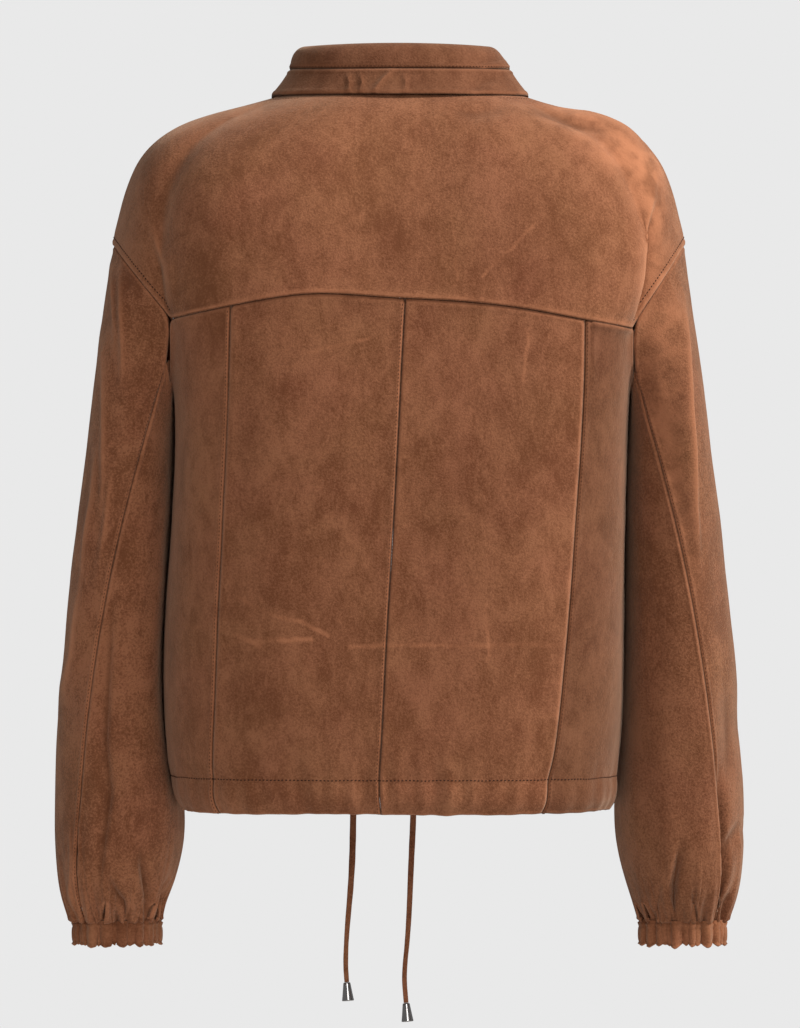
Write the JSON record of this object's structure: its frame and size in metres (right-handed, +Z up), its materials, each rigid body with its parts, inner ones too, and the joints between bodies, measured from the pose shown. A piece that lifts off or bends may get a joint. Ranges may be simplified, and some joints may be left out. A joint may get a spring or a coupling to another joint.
{
  "type": "suede blouson jacket",
  "caption": "Cropped suede blouson with a stand collar, dropped yoke, long gathered sleeves, front zip and drawcord hem with hanging laces.",
  "frame": {"origin": "between the two shoulder points, level with the neck, where the wearer's shoulders hold the jacket", "axes": "+Z up, the front faces -Y, the wearer's left is +X"},
  "size_m": [0.5561, 0.2527, 0.7911],
  "materials": {
    "suede": "brown suede nap",
    "lace": "flat suede lace",
    "tip_metal": "polished gunmetal",
    "eyelet_metal": "polished gunmetal",
    "zip_tape": "woven tape",
    "zip_metal": "gunmetal"
  },
  "bodies": {
    "jacket": {"yoke": "suede", "back_side_left": "suede", "back_centre_left": "suede", "back_centre_right": "suede", "back_side_right": "suede", "front_left": "suede", "front_right": "suede", "sleeve_upper_left": "suede", "sleeve_upper_right": "suede", "sleeve_under_left": "suede", "sleeve_under_right": "suede", "cuff_left": "suede", "cuff_right": "suede", "collar_band": "suede", "collar_roll": "suede", "cord_left": "lace", "cord_right": "lace", "cord_tip_left": "tip_metal", "cord_tip_right": "tip_metal", "eyelet_left": "eyelet_metal", "eyelet_right": "eyelet_metal", "zip_tape_left": "zip_tape", "zip_tape_right": "zip_tape", "zip_chain": "zip_metal", "zip_slider": "zip_metal"},
    "pull_tab": {"zip_pull": "zip_metal"}
  },
  "joints": [
    {"name": "pull_tab_hinge", "type": "hinge", "parent": "jacket", "child": "pull_tab", "pos_m": [0, -0.08762, -0.05174], "axis": [-1, 0, 0], "range_deg": [0, 140]}
  ]
}
